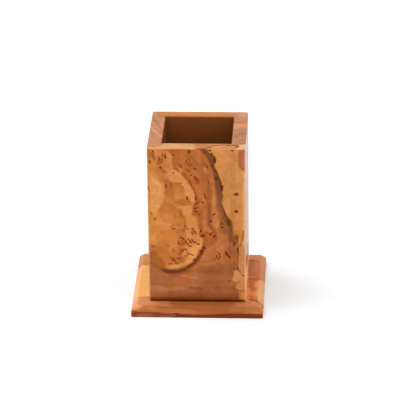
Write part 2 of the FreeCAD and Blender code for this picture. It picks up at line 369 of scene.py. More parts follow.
# Eyes: from (across, down), to (across, down), half width. Places are as on the front board.
EYES = [
    (49.4, 27.5, 50.3, 27.3, 0.95), (49.6, 38, 49.9, 38.1, 1), (34.6, 0.3, 35.4, 0.6, 0.7),
    (37.8, 5.8, 38, 7.2, 0.75), (35.9, 3.2, 36.2, 3.4, 0.55), (36.2, 2.3, 36.6, 2.3, 0.4),
    (47.2, 0.1, 47.9, 0.6, 0.55), (38.6, 17, 38.8, 18.2, 0.7), (41.8, 22.4, 41.8, 24, 0.85),
    (45.2, 43.8, 45.6, 46, 0.75), (30.4, 53.5, 31.5, 53.2, 0.95), (35, 52.8, 35.7, 51.8, 0.62),
    (37, 53.5, 37.9, 53.2, 0.68), (37, 54, 37, 54.8, 0.3), (43.9, 63.7, 44.6, 65.4, 0.72),
    (45.6, 66.3, 46.2, 67, 0.62), (50.5, 61.2, 50.6, 62.8, 0.52), (48.5, 57.4, 48.5, 58.9, 0.52),
    (35.1, 44.5, 35.7, 44.1, 0.66), (31, 60.6, 31.8, 61, 0.66), (29.8, 62.9, 30.6, 63.1, 0.66),
    (30.2, 63.6, 29.8, 65, 0.45), (28, 58.8, 28.6, 58.4, 0.55), (29.8, 50, 29.8, 50.9, 0.55),
    (30.6, 32.4, 31, 32.6, 0.58), (32, 27.2, 32.3, 28.6, 0.42), (32.5, 29.2, 32.8, 30.3, 0.48),
    (26.5, 36.6, 27.7, 35.9, 0.42), (26.8, 38.4, 27.9, 38.2, 0.52), (28.9, 39.8, 29.1, 40.2, 0.48),
    (27, 33.8, 27.3, 33.7, 0.32), (28.1, 33, 28.7, 32.6, 0.44), (37, 40, 37.6, 39.8, 0.55),
    (22.2, 29.4, 22.4, 30.9, 0.55), (26.9, 29.2, 26.9, 30.8, 0.42), (10.5, 21.6, 10.6, 23.6, 0.5),
    (0.5, 23.2, 0.7, 24.1, 0.5), (1.1, 25.2, 1.1, 25.6, 0.34), (1.7, 7.2, 1.9, 8.3, 0.52),
    (7, 5.9, 6.9, 6.9, 0.5), (8.5, 6, 8.6, 6.7, 0.42), (8.8, 3, 9, 3.9, 0.36), (10.4, 2.8, 10.5, 4, 0.34),
    (10.6, 4.6, 10.7, 5, 0.45), (7.4, 10.9, 7.4, 11.4, 0.52), (3.6, 1, 3.8, 1.5, 0.42),
    (14.8, 3.5, 15.2, 3.4, 0.52), (14.9, 14, 14.9, 14.6, 0.42), (23.7, 0.3, 23.7, 0.7, 0.42),
    (23.3, 1.6, 24.2, 1.6, 0.5), (19.1, 10.3, 19.1, 11, 0.36), (22, 12.3, 22.3, 12.5, 0.4),
    (23.2, 13.3, 23.5, 13.4, 0.42), (24.4, 15.8, 24.7, 15.8, 0.46), (26.5, 11.7, 27.3, 11.8, 0.45),
    (26.8, 16.8, 27.1, 17.5, 0.52), (28.1, 18.2, 28.6, 18.4, 0.42), (21.9, 6.6, 21.9, 7, 0.34),
    (22.9, 9.2, 23.2, 9.2, 0.34), (24.7, 9.2, 24.8, 9.2, 0.32), (23.8, 10.4, 24.2, 10.4, 0.4),
    (33.2, 11, 33.8, 10, 0.42), (34.4, 19.6, 34.4, 20.4, 0.44), (14, 49.1, 14.4, 49.2, 0.58),
    (20.6, 46.9, 20.9, 47.6, 0.36), (25, 48.9, 25.9, 49.5, 0.34), (26.2, 50.8, 26.9, 52.1, 0.4),
    (25.1, 52, 25.2, 52.2, 0.42), (19.5, 54.9, 19.8, 55.7, 0.48), (18.3, 54.3, 18.4, 55.1, 0.36),
    (21, 56.5, 21.3, 56.7, 0.38), (16.8, 58, 17.1, 58.4, 0.38), (21.2, 57.4, 22.4, 59, 0.36),
    (22.6, 59.4, 24.2, 60.2, 0.42), (22.4, 55.8, 23, 54.9, 0.36), (23.2, 56.2, 24.2, 57.4, 0.38),
    (23, 57.8, 24.4, 57.9, 0.3), (24.6, 55.6, 25.7, 57.6, 0.42), (26.8, 57.2, 26.9, 57.7, 0.44),
    (11.2, 60.1, 11.4, 60.1, 0.4), (20.9, 62.1, 21.3, 62.4, 0.5), (19.4, 62.2, 19.5, 63.5, 0.4),
    (18.1, 64.2, 18.4, 64.3, 0.44), (23.5, 64.9, 23.9, 65.1, 0.52), (25, 65.6, 25.3, 65.7, 0.4),
    (22.3, 65.2, 22.3, 65.8, 0.36), (13.8, 67.4, 14.3, 67.5, 0.44), (13, 68.5, 13.3, 68.5, 0.36),
    (13.7, 69, 14.1, 69.4, 0.46), (17.3, 68, 17.7, 68.3, 0.46), (12.8, 71, 13.2, 71.4, 0.36),
    (25.8, 68.1, 26, 68.9, 0.5), (41.1, 45.2, 41, 46.4, 0.32), (41.6, 44.8, 41.9, 45.2, 0.32),
    (42.4, 45.6, 42.7, 46.4, 0.34), (41.5, 47.9, 42, 48, 0.58), (40.2, 64.4, 40.4, 65.2, 0.42),
    (40.4, 65.8, 40.4, 67, 0.38), (38.7, 65.6, 38.5, 66.8, 0.42), (39.3, 67.8, 39.9, 67.8, 0.44),
    (51.3, 74.8, 51.9, 75.2, 0.4), (53.4, 78, 54, 78.1, 0.45), (48.2, 73.8, 48.6, 73.9, 0.4),
    (50.4, 73.6, 50.8, 73.8, 0.45), (45.2, 81.4, 45.9, 81.4, 0.3),
]
# Fainter brown marks among the eyes, given in the same way.
SMUDGES = [
    (3.5, 2, 3.6, 4, 0.6), (4.1, 4.5, 4.8, 5.7, 0.6), (0.8, 0.4, 0.8, 2, 0.5), (6.6, 7.6, 6.8, 8.7, 0.5),
    (7.3, 4.8, 7.3, 5.4, 0.4), (8.2, 7, 8.3, 7.9, 0.5), (9.1, 4.3, 10.2, 5.1, 0.4), (8, 11, 8.8, 11.2, 0.5),
    (8.6, 12.4, 9.8, 13.8, 0.6), (17, 11.6, 17.4, 13, 0.7), (18, 9, 19, 10.2, 0.4),
    (20.4, 15, 21.8, 18, 0.7), (23.2, 18.8, 24.6, 21.4, 0.6), (14.8, 11.6, 15.6, 11.7, 0.4),
    (22, 7.2, 21.4, 8.8, 0.3), (22, 7.2, 22.9, 9, 0.3), (22.8, 5.4, 24, 8.4, 0.35),
    (25, 4.4, 25.6, 6.2, 0.4), (26.4, 6.8, 27.4, 6.9, 0.4), (27.8, 8, 28.6, 9.6, 0.4),
    (25.4, 11.5, 26.4, 11.7, 0.4), (27.2, 12, 27.4, 12.9, 0.3), (22.3, 12.5, 23.2, 13.3, 0.4),
    (27.4, 18.4, 27.9, 20.4, 0.8), (36, 20.7, 36.2, 20.7, 0.4), (32.4, 8.8, 32.7, 9.2, 0.45),
    (34.3, 34.4, 34.5, 34.6, 0.5), (28.8, 32, 29.7, 31.2, 0.35), (27.7, 35.9, 28.5, 35.6, 0.35),
    (25.6, 37, 25.4, 39, 0.4), (25.1, 40.2, 26.4, 40.4, 0.5), (26.6, 40.6, 28.6, 40.5, 0.4),
    (13.2, 20.6, 13.3, 23.4, 0.45), (18.8, 23.3, 19.9, 23.5, 0.35), (19.2, 20.8, 18, 21.2, 0.3),
    (18, 37.8, 18.2, 39.2, 0.4), (18.4, 39.6, 18.6, 41, 0.45), (3.1, 43.2, 3.8, 43, 0.5),
    (2, 39.4, 2.1, 39.8, 0.35), (12.8, 47.6, 14.6, 47.1, 0.4), (15.2, 48.9, 15.3, 49.2, 0.4),
    (21.1, 48.2, 22.2, 49.4, 0.45), (21, 48.4, 19.6, 50.7, 0.45), (24.5, 49, 25, 48.8, 0.4),
    (24.2, 51.2, 25.1, 52, 0.4), (25.2, 50.2, 25.3, 51, 0.35), (25.4, 51.1, 26.2, 50.8, 0.35),
    (29, 51.6, 29.2, 53.4, 0.35), (19.3, 57, 20.4, 57.8, 0.4), (17.6, 58.8, 20, 59.2, 0.6),
    (17.4, 57.2, 16.8, 57.8, 0.4), (28.4, 56.3, 28.5, 56.4, 0.35), (14.3, 62.2, 14.4, 63.1, 0.4),
    (18.2, 61.4, 18.3, 61.5, 0.4), (19.6, 62, 20.8, 62, 0.4), (18.2, 62.8, 19.2, 63.3, 0.45),
    (18, 64.6, 17.8, 65.4, 0.4), (22.3, 64, 22.3, 65, 0.4), (12, 67.1, 13, 66.7, 0.45),
    (14.8, 68.4, 15.2, 69.4, 0.55), (16.2, 67.8, 17, 67.9, 0.4), (11.6, 71, 12.8, 71.2, 0.4),
    (15.4, 70.8, 16.4, 70.8, 0.6), (21, 66.2, 21.2, 66.8, 0.4), (24.9, 68.9, 25.6, 68.8, 0.4),
    (28.9, 62.6, 28.7, 65.6, 0.45), (41, 44, 41.2, 44.4, 0.4), (41.1, 46.6, 41.4, 47.6, 0.35),
    (42.6, 46.8, 42.3, 47.6, 0.35), (32.6, 51.5, 33.4, 51.5, 0.5), (36.6, 50, 36.7, 51, 0.4),
    (36.7, 51.2, 38, 51.4, 0.5), (38.9, 63.5, 40, 64.2, 0.45), (38.4, 67, 37.4, 67.9, 0.5),
    (37.2, 68, 36.1, 68.5, 0.4), (43.2, 63, 43.8, 63.5, 0.4), (45, 65, 45.4, 66, 0.45),
    (42.6, 65.4, 42.6, 67, 0.35), (50.9, 63.4, 51, 65.4, 0.4), (48.3, 59.4, 48.2, 60, 0.4),
    (2.6, 60, 3.4, 60.6, 0.35), (36.6, 40.4, 36.5, 41, 0.3),
]
STRIP_LINES = [
    ([(53.9, 50), (53.6, 53), (53.2, 55.6), (52.5, 58), (51.5, 60.4)], (152, 82, 36), 0.85, 0.5),
    ([(54.4, 55), (54.2, 60)], (222, 150, 106), 0.7, 0.7),
    ([(51.7, 48.6), (51.8, 53)], (190, 112, 54), 0.7, 0.5),
]
# The pale places low on the front's right edge, and the darker gaps between them.
LIGHT_PATCHES = [
    ([(48, 77.2), (48.6, 75.4), (49.6, 74.7), (50.8, 75.2), (51.6, 76.6), (52.8, 77.4), (54, 76.4),
      (56, 76.2),
      (56, 86.6), (52.8, 87), (50.6, 86.6), (49.2, 85.6), (49.4, 84), (50, 83), (49, 82), (47.5, 81.8),
      (47, 80.4),
      (47.8, 79.2)], (203, 135, 83), 1, 0.6),
    ([(52, 88.2), (53.4, 87.6), (56, 87.4), (56, 93), (52.6, 92.6), (51.4, 91)], (206, 133, 78), 1, 0.8),
    ([(48.6, 76), (50.2, 75.8), (50.8, 79.4), (49, 80.4)], (209, 142, 90), 0.8, 1.2),
    ([(50.6, 84), (54, 83), (54.6, 85.6), (51, 86)], (197, 129, 80), 0.8, 1),
]
LIGHT_GAPS = [
    ([(48, 82.4), (49.8, 82.4), (51.8, 81.9)], (168, 98, 48), 0.85, 0.5),
    ([(51, 86.8), (52.4, 87.6), (54, 87.2)], (172, 100, 52), 0.85, 0.6),
    ([(51.2, 75.2), (52.2, 76.2), (52.8, 77.2)], (160, 92, 44), 0.7, 0.4),
]


def front_figure(q, strip=True):
    """Colours and knot distance on the front board's face at places q."""
    q = q - np.column_stack([0 * q[:, 0], np.interp(q[:, 1], LEVELS, LEVEL_SHIFTS)])
    p = np.column_stack([q, np.zeros(len(q))])
    s = drift(drift(p, 9, 0.3, 1), 2.4, 0.2, 11)[:, :2]
    outer = depth_in(s, GOLD_EDGE + BEYOND)
    edge, along = reach_of(s, curve(GOLD_EDGE))
    gold = fill(plain(GOLD, q), s, GOLDEN) * (1 + 0.035 * noise(p, 4.5, 71, 2))[:, None]
    colour = paint(gold, front_middle(s, edge, along), ramp(-0.35, 0.55, outer))
    cast = np.interp(along, *EDGE_CAST) * np.clip(0.85 + 0.4 * noise(p, 4, 91), 0.4, 1)
    colour = cast_edge(colour, edge, outer, cast)
    shade = ramp(0.6, 0.8, along) * ramp(1.6, 0.2, edge) * ramp(0.1, -0.4, outer)
    colour = paint(colour, GOLD_SHADE, 0.7 * shade)
    colour = drawn(colour, s, LINES)
    colour = front_vein(colour, s, 0.25 * noise(p, 2.2, 41, 2))
    if strip:
        colour = paint(colour, front_strip(s), ramp(SEAM - 0.1, SEAM + 0.1, q[:, 0] - BOX_HALF))
        colour = drawn(colour, s, STRIP_LINES)
    colour = drawn(fill(colour, s + 0.3 * noise(p, 1.4, 61, 2)[:, None], LIGHT_PATCHES), s, LIGHT_GAPS)
    colour = paint(colour, SMUDGE, 0.66 * ramp(0.5, -0.2, marks_distance(s, SMUDGES)))
    wander = noise(p, 3.2, 81, 2) + 0.6 * noise(p, 1.3, 85)
    return colour * (1 + np.outer(wander, HUE_DRIFT)), marks_distance(q, EYES)


def marks_distance(q, marks):
    """Distance to the nearest of many short rounded strokes."""
    far = np.full(len(q), NO_MARK)
    for *ends, half in marks:
        start, end = np.array(ends[:2]), np.array(ends[2:])
        near = ((q > np.minimum(start, end) - 3) & (q < np.maximum(start, end) + 3)).all(1)
        far[near] = np.minimum(far[near], reach_of(q[near], np.array([start, end]))[0] - half)
    return far


def front_middle(s, edge, along):
    """The redder wood right of the gold.

    Its layers follow the gold's edge near it, and stand upright farther off.
    """
    flat = 0 * edge
    bent = noise(np.column_stack([edge, 9 * along, flat]), 2.6, 21, 2)
    upright = noise(np.column_stack([s[:, 0], 0.14 * s[:, 1], flat]), 2.6, 22, 2)
    layers = upright + (bent - upright) * ramp(9, 4, edge)
    middle = fill(plain(ROSE, s), s, MIDDLE) * (1 + 0.08 * layers)[:, None]
    streaks = noise(np.column_stack([0.1 * s[:, 0], s[:, 1], flat]), 2.0, 31, 3)
    foot = fill(middle, s, LOWER) * (1 + 0.07 * streaks)[:, None]
    return paint(middle, foot, ramp(-0.6, 1.0, depth_in(s, LOWER[0][0])))


def front_vein(colour, s, ragged):
    """The dark vein from the rim down to the right, and the tan wood beyond it."""
    across, down = s.T
    below, left, right = np.array(VEIN, float).T
    left, right = np.interp(down, below, left), np.interp(down, below, right) + ragged
    foot = np.interp(across, *np.array(TAN_FOOT, float).T)
    tan = paint(plain(TAN, s), TAN_TOP, ramp(8, 1, down))
    tan = paint(tan, TAN_LOW, ramp(4.5, 0.5, foot - down))
    tan = tan * (1 + 0.05 * noise(np.column_stack([across, 0.12 * down, 0 * down]), 3.0, 51, 2))[:, None]
    colour = paint(colour, tan, ramp(-0.1, 0.3, np.minimum(across - right, foot - down)))
    dark = ramp(-0.7, 0.5, np.minimum(across - left, right - across)) * ramp(54, 48, down)
    bark = paint(plain(VEIN_BROWN, s), VEIN_WORN, ramp(24, 32, down) * ramp(43, 39, down))
    side = ramp(26, 32, down) * ramp(44, 40, down) * ramp(2.0, 0.6, across - left)
    bark = paint(bark, VEIN_SIDE, 0.8 * side)
    colour = paint(colour, bark, 0.95 * dark)
    worn = ramp(24, 27, down) * ramp(35, 32, down)
    edge = ramp(52, 40, down) * ramp(1.4, 0.2, right - across)
    return paint(colour, BARK, 0.8 * dark * (1 - 0.6 * worn) * edge)


def front_strip(s):
    """The right board's end, in the same plane as the front board's face."""
    across, down = s.T
    top = down - (across - SEAM - BOX_HALF)
    strip = paint(plain(STRIP, s), STRIP_PALE, ramp(52.6, 54, across))
    strip = paint(strip, STRIP_TOP, ramp(10.8, 9.2, top))
    strip = paint(strip, STRIP_LINE, 0.7 * ramp(1.8, 0.4, np.abs(top - 8.9)))
    strip = paint(strip, STRIP_MIDDLE, ramp(57, 61, down))
    strip = paint(strip, STRIP_LOW, ramp(87, 91, down))
    # Painted shade along the foot.
    return paint(strip, STRIP_FOOT_SHADE, ramp(92.4, 93.4, down) * ramp(54, 53, across))


def drawn(colour, s, lines):
    """Thin lines laid over a colour: each a run of points, a colour, a weight and half its width."""
    for points, tint, weight, half in lines:
        far, _ = reach_of(s, curve(points))
        colour = paint(colour, tint, weight * ramp(1.5 * half, 0.3 * half, far))
    return colour


# How each board's other faces lie in the block: mirrored, upside down, moved (mm), how far the figure
# drifts (mm), and the noise's seed.
SAWN = {
    "front": (False, False, (0, 0), 0, 1),
    "right": (True, False, (-2, -9), 9, 520),
    "back": (True, True, (2, 4), 8, 540),
    "left": (False, True, (-3, -6), 7, 574),
}

# Places on the rim and on the plinth are (mm to the right, mm to the back) of the stand's middle.

RIM_PATCHES = [
    ([(-31, -17), (-10, -17), (-2, -20), (2, -24), (-1, -31), (-31, -31)], (203, 149, 101), 0.9, 3.4),
    ([(-31, -20), (-18, -21), (-18, 31), (-31, 31)], (182, 125, 89), 0.9, 1.6),
    ([(-31, 2), (-25, 4), (-22, 10), (-25, 16), (-31, 14)], (176, 120, 84), 0.7, 2.4),
    ([(-1, -18), (9, -18), (8, -31), (0, -31)], (184, 116, 64), 0.7, 2),
    ([(9.5, -24), (16, -21), (22, -22.4), (22, -31), (8, -31)], (204, 138, 84), 0.8, 1.4),
    ([(19, -18.6), (31, -21), (31, 31), (19, 31)], (170, 107, 57), 0.9, 1),
    ([(23.4, -31), (31, -31), (31, -21), (26, -20.6), (23.4, -23)], (215, 157, 117), 1, 1),
    ([(19, 12.6), (31, 12), (31, 18), (19, 18.4)], (186, 111, 52), 0.8, 1.6),
    ([(18, 19.6), (31, 20), (31, 31), (18, 31)], (188, 130, 88), 0.9, 2),
    ([(19, 2.6), (31, 3), (31, 9.6), (19, 10)], (198, 131, 78), 0.8, 1),
    ([(22.6, -6.4), (25, -6.6), (28, -5.4), (28, -3), (25, -2.6), (22.6, -4)], (148, 82, 42), 0.85, 1),
    ([(20, -12), (22.4, -11.4), (23.6, -8.6), (22, -6.8), (20.4, -8)], (146, 84, 44), 0.8, 1),
    ([(25, -10.6), (30, -12), (30, -8), (26, -7.6)], (166, 108, 68), 0.8, 1),
    ([(-19, 19), (19, 19), (19, 31), (-19, 31)], (190, 121, 60), 0.9, 1.4),
    ([(-19, 18), (19, 18), (19, 22), (-19, 22)], (172, 102, 50), 0.7, 1.6),
]
RIM_LINES = [
    ([(0.4, -27), (4, -27), (6.4, -25.8), (9.2, -22.9), (14.8, -21.6), (19, -22)], (138, 72, 34), 0.95, 0.6),
    ([(17, -22.4), (19.8, -21.8), (22, -22.6), (23, -24), (21.6, -25)], (118, 66, 34), 0.95, 0.65),
    ([(-4, -23), (1, -24), (5, -24.6)], (176, 112, 70), 0.6, 0.5),
    ([(14.6, -24.4), (18, -25), (20.6, -24)], (164, 104, 62), 0.7, 0.5),
    ([(20, 11), (24, 10.4), (28, 10.8)], (150, 82, 38), 0.8, 0.5),
    ([(21, 17.6), (24, 18.4), (28, 18)], (166, 96, 48), 0.6, 0.4),
    ([(24, 3.4), (28, 3)], (156, 92, 50), 0.8, 0.6),
    ([(22.6, -0.4), (26, -0.2), (28, -1)], (158, 94, 50), 0.8, 0.7),
    ([(24, -15), (26, -16), (27.6, -18.4), (25, -19.4), (22, -17)], (142, 80, 40), 0.8, 0.6),
    ([(20.6, -15.4), (23.6, -13.4), (27, -14)], (160, 98, 56), 0.7, 0.5),
    ([(-28, 18), (-25, 12), (-22, 4), (-19.4, -4)], (158, 96, 62), 0.6, 0.7),
    ([(-28, 6), (-25.6, 0), (-23, -6), (-19.6, -11)], (206, 152, 112), 0.7, 0.8),
    ([(-28, -2), (-25, -8), (-20, -15)], (166, 108, 68), 0.5, 0.6),
    ([(-26, -10), (-22, -17), (-19, -20)], (170, 112, 74), 0.5, 0.6),
]
PLINTH_PATCHES = [
    ([(-50, -34), (-26, -30), (-26, 18.4), (-50, 19.6)], (239, 179, 102), 1, 1.4),
    ([(-50, -36), (-37, -32), (-35, 0), (-34, 18), (-50, 19.4)], (246, 181, 124), 0.9, 2.4),
    ([(-50, 20.4), (-26, 19.4), (-18, 22), (-16, 50), (-50, 50)], (202, 137, 80), 1, 1.2),
    ([(-17, 26), (22, 26), (24, 50), (-18, 50)], (196, 118, 64), 0.9, 3),
    ([(21, 4.2), (30, 6.2), (35, 3.6), (50, 4.4), (50, 50), (20, 50)], (188, 107, 54), 1, 1),
    ([(32, 7), (50, 4.6), (50, 40), (33.4, 40)], (206, 130, 82), 0.9, 2.6),
    ([(20, 30), (50, 29), (50, 50), (20, 50)], (200, 132, 90), 0.8, 1.6),
    ([(26, 4.2), (35, 3.2), (50, 4), (50, -50), (30, -36), (26, -28)], (199, 108, 38), 1, 1),
    ([(26, 6), (34.4, 6.2), (34.4, 3.4), (30, 2.4), (26, 3)], (222, 138, 72), 0.8, 1),
    ([(31.6, -2), (34.6, -2.6), (35, -6.6), (32.8, -7.4), (31.2, -5)], (232, 152, 84), 0.9, 1.2),
    ([(31, -15.4), (34.6, -14.6), (35, -20), (32.4, -22.6), (30.6, -19)], (228, 146, 80), 0.9, 1.2),
    ([(33.4, 0), (50, 2), (50, -34), (37, -33), (33.6, -22)], (233, 168, 108), 0.95, 2),
    ([(26.6, -12.4), (30, -12.6), (31.4, -16), (30, -19.4), (26.6, -19.6)], (230, 142, 70), 0.8, 1.2),
    ([(27, -2.4), (31, -3), (32.6, -9.4), (33.4, -12.8), (30, -11), (27, -9.6)], (196, 104, 38), 0.9, 1.2),
    ([(-28, -26), (40, -26), (36, -34.6), (-30, -34.6)], (188, 118, 72), 1, 0.8),
    ([(-12, -26), (17, -26), (19, -34.6), (-14, -34.6)], (160, 92, 50), 0.9, 3),
    ([(-40, -24), (-34, -25), (-33.4, -29), (-34, -36), (-40, -38)], (233, 163, 119), 0.9, 3),
    ([(-34, -28), (-24, -27.4), (-22, -31), (-24, -35), (-34, -35)], (201, 128, 78), 0.9, 2.4),
    ([(-33, -30), (-25, -30.2), (-25, -31.4), (-33, -31.6)], (224, 150, 104), 0.6, 0.7),
    ([(-33.5, -23), (-28, -22.6), (-26.6, -27), (-30, -28.8), (-33.5, -28)], (203, 128, 80), 0.9, 2.4),
    ([(30, -27.6), (35, -29), (36.4, -31.4), (31, -31.6)], (207, 131, 78), 0.8, 1.4),
]
BEVEL_PATCHES = [
    ([(-50, -34.6), (50, -34.6), (50, -40.6), (-50, -40.6)], (162, 88, 44), 1, 0.5),
    ([(-50, -34), (-25, -34.4), (-21, -37), (-27, -41), (-50, -41)], (182, 110, 64), 0.9, 3),
    ([(-37, -34.4), (-31.4, -34.4), (-32, -36), (-34, -37.6), (-37, -38)], (226, 156, 106), 0.9, 1),
    ([(-30, -35.6), (-24, -35.8), (-24, -36.8), (-30, -36.8)], (212, 138, 90), 0.5, 0.7),
    ([(-37, -38.8), (-30, -38.2), (-25, -39), (-27, -41), (-38, -41)], (166, 95, 47), 0.8, 1),
    ([(-36.4, -39.2), (-34.4, -39), (-34, -40.4), (-36.4, -40.6)], (140, 74, 20), 0.85, 0.6),
    ([(-24, -36.4), (-4, -36.8), (0, -41), (-24, -41)], (174, 101, 52), 0.9, 1.2),
    ([(21, -34.6), (50, -34), (50, -41), (22, -41)], (174, 100, 52), 0.9, 3),
    ([(29, -34.6), (50, -34), (50, -41), (31, -41)], (186, 110, 60), 0.9, 3),
    ([(-14, -39.6), (0, -39.8), (9, -41), (-14, -41)], (184, 114, 74), 0.9, 0.5),
    ([(-50, -40.6), (-12, -40.7), (-6, -41.2), (50, -41.3), (50, -50), (-50, -50)], (119, 54, 24), 1, 0.4),
    ([(-6, -41.2), (0, -41.4), (8, -41.2), (4, -43), (-5, -43)], (122, 57, 26), 0.9, 0.8),
    ([(-26, -41.6), (-14, -41.4), (-13, -43), (-26, -43)], (164, 102, 66), 0.8, 0.6),
    ([(-34, -41), (-26, -41), (-26, -44), (-34, -44)], (162, 93, 65), 0.9, 0.8),
    ([(-50, -40.6), (-35, -40.6), (-35.6, -44), (-50, -44)], (128, 72, 40), 0.8, 1),
    ([(-25, -41), (-21, -41), (-21.6, -44), (-24, -44)], (126, 76, 40), 0.8, 0.6),
]
SLIVER_WIDTH = 1.6  # at the front; it narrows to nothing towards the back
PLINTH_EYES = [
    (28.2, 26.4, 29.8, 28.2, 0.5), (29.8, 24.8, 30.2, 26.4, 0.4), (28, 23.4, 28.2, 23, 0.35),
    (35.4, 29.6, 35.8, 31.4, 0.5), (-12, 31, -11, 30.6, 0.4), (-8.6, 32.4, -8, 32, 0.35),
    (-7, 30, -6.4, 29.6, 0.3),
]
PLINTH_LINES = [
    ([(27, -24.6), (30, -25.8), (33, -27), (34.4, -28.6)], (136, 68, 24), 1, 0.9),
    ([(34.4, -28.6), (36, -32), (38.4, -36.6)], (160, 88, 44), 0.8, 0.6),
    ([(27.6, 1.4), (31, 1.6)], (156, 84, 28), 0.8, 1),
    ([(27.6, -6), (29.4, -8.6)], (158, 86, 34), 0.8, 1.1),
    ([(32.4, -8), (34.6, -9)], (232, 158, 106), 0.8, 1.2),
    ([(34.6, -26.6), (36, -30), (38.6, -35)], (240, 176, 128), 0.7, 0.5),
    ([(-46, 19.6), (-36, 20), (-28, 18.8)], (176, 98, 50), 0.6, 0.7),
    ([(27, 5), (31, 5.6), (36, 3.6)], (176, 84, 40), 0.6, 0.6),
    ([(29, 24), (31, 27), (32.6, 24.6)], (176, 84, 50), 0.8, 0.7),
]


def rim_figure(p):
    """Colours of the boards' upper ends."""
    s = drift(p * (1, 1, 0), 5, 0.3, 301)[:, :2]
    bands = noise(np.column_stack([0.25 * p[:, 0], p[:, 1] + 0.4 * p[:, 0], 0 * p[:, 0]]), 2.2, 305, 3)
    colour = fill(plain(RIM_WOOD, p), s, RIM_PATCHES) * (1 + 0.06 * bands)[:, None]
    return drawn(colour, s, RIM_LINES)


def plinth_figure(p):
    """Colours and knot distance on the plinth, with its bevels and edges laid out flat round its top."""
    drop = plinth_high.z - p[:, 2]
    wide, deep = np.abs(p[:, 0]), np.abs(p[:, 1])
    u = p[:, 0] + np.where(wide > deep, np.sign(p[:, 0]) * drop, 0)
    v = p[:, 1] + np.where(wide > deep, 0, np.sign(p[:, 1]) * drop)
    s = drift(np.column_stack([u, v, 0 * u]), 6, 0.5, 401)[:, :2]
    streaks = noise(np.column_stack([0.09 * u, v, p[:, 2]]), 1.8, 405, 3)
    colour = fill(plain(PLINTH_WOOD, p), s, PLINTH_PATCHES) * (1 + 0.04 * streaks)[:, None]
    colour = drawn(colour, s, PLINTH_LINES)
    front = fill(colour, s, BEVEL_PATCHES) * (1 + 0.09 * streaks)[:, None]
    colour = paint(colour, front, ramp(-34.2, -34.9, v))
    foot = ramp(2.9, 2.3, p[:, 2]) * ramp(-33, -30, p[:, 1])
    colour = colour * (1 - 0.2 * foot)[:, None]
    # Painted shade: a thin, almost black line on the plinth along the wall's foot.
    contact_shade = ramp(1.7, 0.3, np.abs(p[:, 1] + BOX_HALF)) * ramp(BOX_HALF + 0.2, BOX_HALF - 1.5, wide)
    colour = paint(colour, CONTACT_SHADE, 0.95 * contact_shade)
    past_wall = p[:, 0] - BOX_HALF
    sliver = SLIVER_WIDTH * ramp(22, -24, p[:, 1]) - past_wall
    lit = ramp(-0.3, 0.4, sliver) * ramp(-0.5, 0, past_wall) * ramp(-27.4, -26.6, p[:, 1])
    colour = paint(colour, PLINTH_SLIVER, 0.8 * lit)
    bands = noise(p * (0.07, 1, 0), 5, 411, 4) + 0.5 * noise(p * (1, 1, 0), 26, 415)
    underside = plain(UNDERSIDE, p) * (1 + 0.12 * bands)[:, None]
    is_under = ramp(0.4, 0.1, p[:, 2] - plinth_low.z)
    colour = paint(colour, underside, is_under)
    return colour, marks_distance(np.column_stack([u, v]), PLINTH_EYES) + NO_MARK * is_under


def store(mesh, name, values, veil=VEIL):
    """Keeps a number or a colour for each vertex under a name that materials can read."""
    if values.ndim == 1:
        mesh.attributes.new(name, "FLOAT", "POINT").data.foreach_set("value", values)
    else:
        seen = linear(values)
        rgba = np.column_stack([np.maximum(seen - veil, 0.3 * seen), np.ones(len(values))])
        layer = mesh.color_attributes.new(name, "FLOAT_COLOR", "POINT")
        layer.data.foreach_set("color", rgba.ravel())


def quarter_turned(p, turns):
    """Points turned back about Z by quarter turns, so that a wall board lies as the front board does."""
    x, y, z = p.T
    for _ in range(turns):
        x, y = y, -x
    return np.column_stack([x, y, z])


CARRIED = 9.0  # how far back, in mm, the right wall carries on the front's figure
LOW_PAINTED_LIGHT_TOP = 25.0  # height of its painted light low down, in mm above the ground, at the front


def wall_figure(p, side, turns):
    """Colours, knot distance and seam distance for a wall board."""
    local = quarter_turned(p, turns)
    colour, knots = block_figure(local, side)
    past = p[:, 1] + BOX_HALF  # behind the front face
    if side == "front":
        near = past < BOX_HALF - MOUTH_HALF - 0.1
        weight = np.ones(near.sum())
    elif side == "right":
        near = past < CARRIED
        weight = ramp(0.5, -0.5, (past[near] - 5) / 2 + 1.6 * noise(p[near] * (0, 1, 0.6), 6, 77, 2))
    if side in ("front", "right"):
        unrolled = p[near, 0] + np.where(p[near, 0] < 0, -1, 1) * past[near] + BOX_HALF
        colour_there, knots_there = front_figure(np.column_stack([unrolled, RIM - p[near, 2]]))
        colour[near] = paint(colour[near], colour_there, weight)
        knots[near] = np.where(weight > 0.5, knots_there, knots[near])
    if side == "right":
        # Painted light: the right wall's outside is painted paler near the front, and palest low down.
        colour = paint(colour, RIGHT_PAINTED_LIGHT, 0.65 * ramp(16, 2, past) * ramp(0.2, 1, past))
        low = LOW_PAINTED_LIGHT_TOP - p[:, 2] - 0.2 * past + 5 * noise(p, 14, 79, 2)
        colour = paint(colour, LOW_PAINTED_LIGHT, 0.95 * ramp(-3, 3, low) * ramp(0.2, 1, past))
    corner = (BOX_HALF - np.abs(p[:, :2])).max(1)
    # Painted highlight: the upright corners are painted paler.
    colour = paint(colour, ARRIS_HIGHLIGHT, 0.7 * ramp(0.9, 0.35, corner))
    on_rim = ramp(RIM - 0.55, RIM - 0.1, p[:, 2])
    colour = paint(colour, rim_figure(p), on_rim)
    # Painted shade: the inner faces take the darker colour.
    inner = ramp(MOUTH_HALF + 0.5, MOUTH_HALF + 0.1, np.abs(p[:, :2]).max(1))
    colour = paint(colour, INNER_SHADE, inner)
    return colour, knots + NO_MARK * np.maximum(on_rim, inner), seam_distance(local)


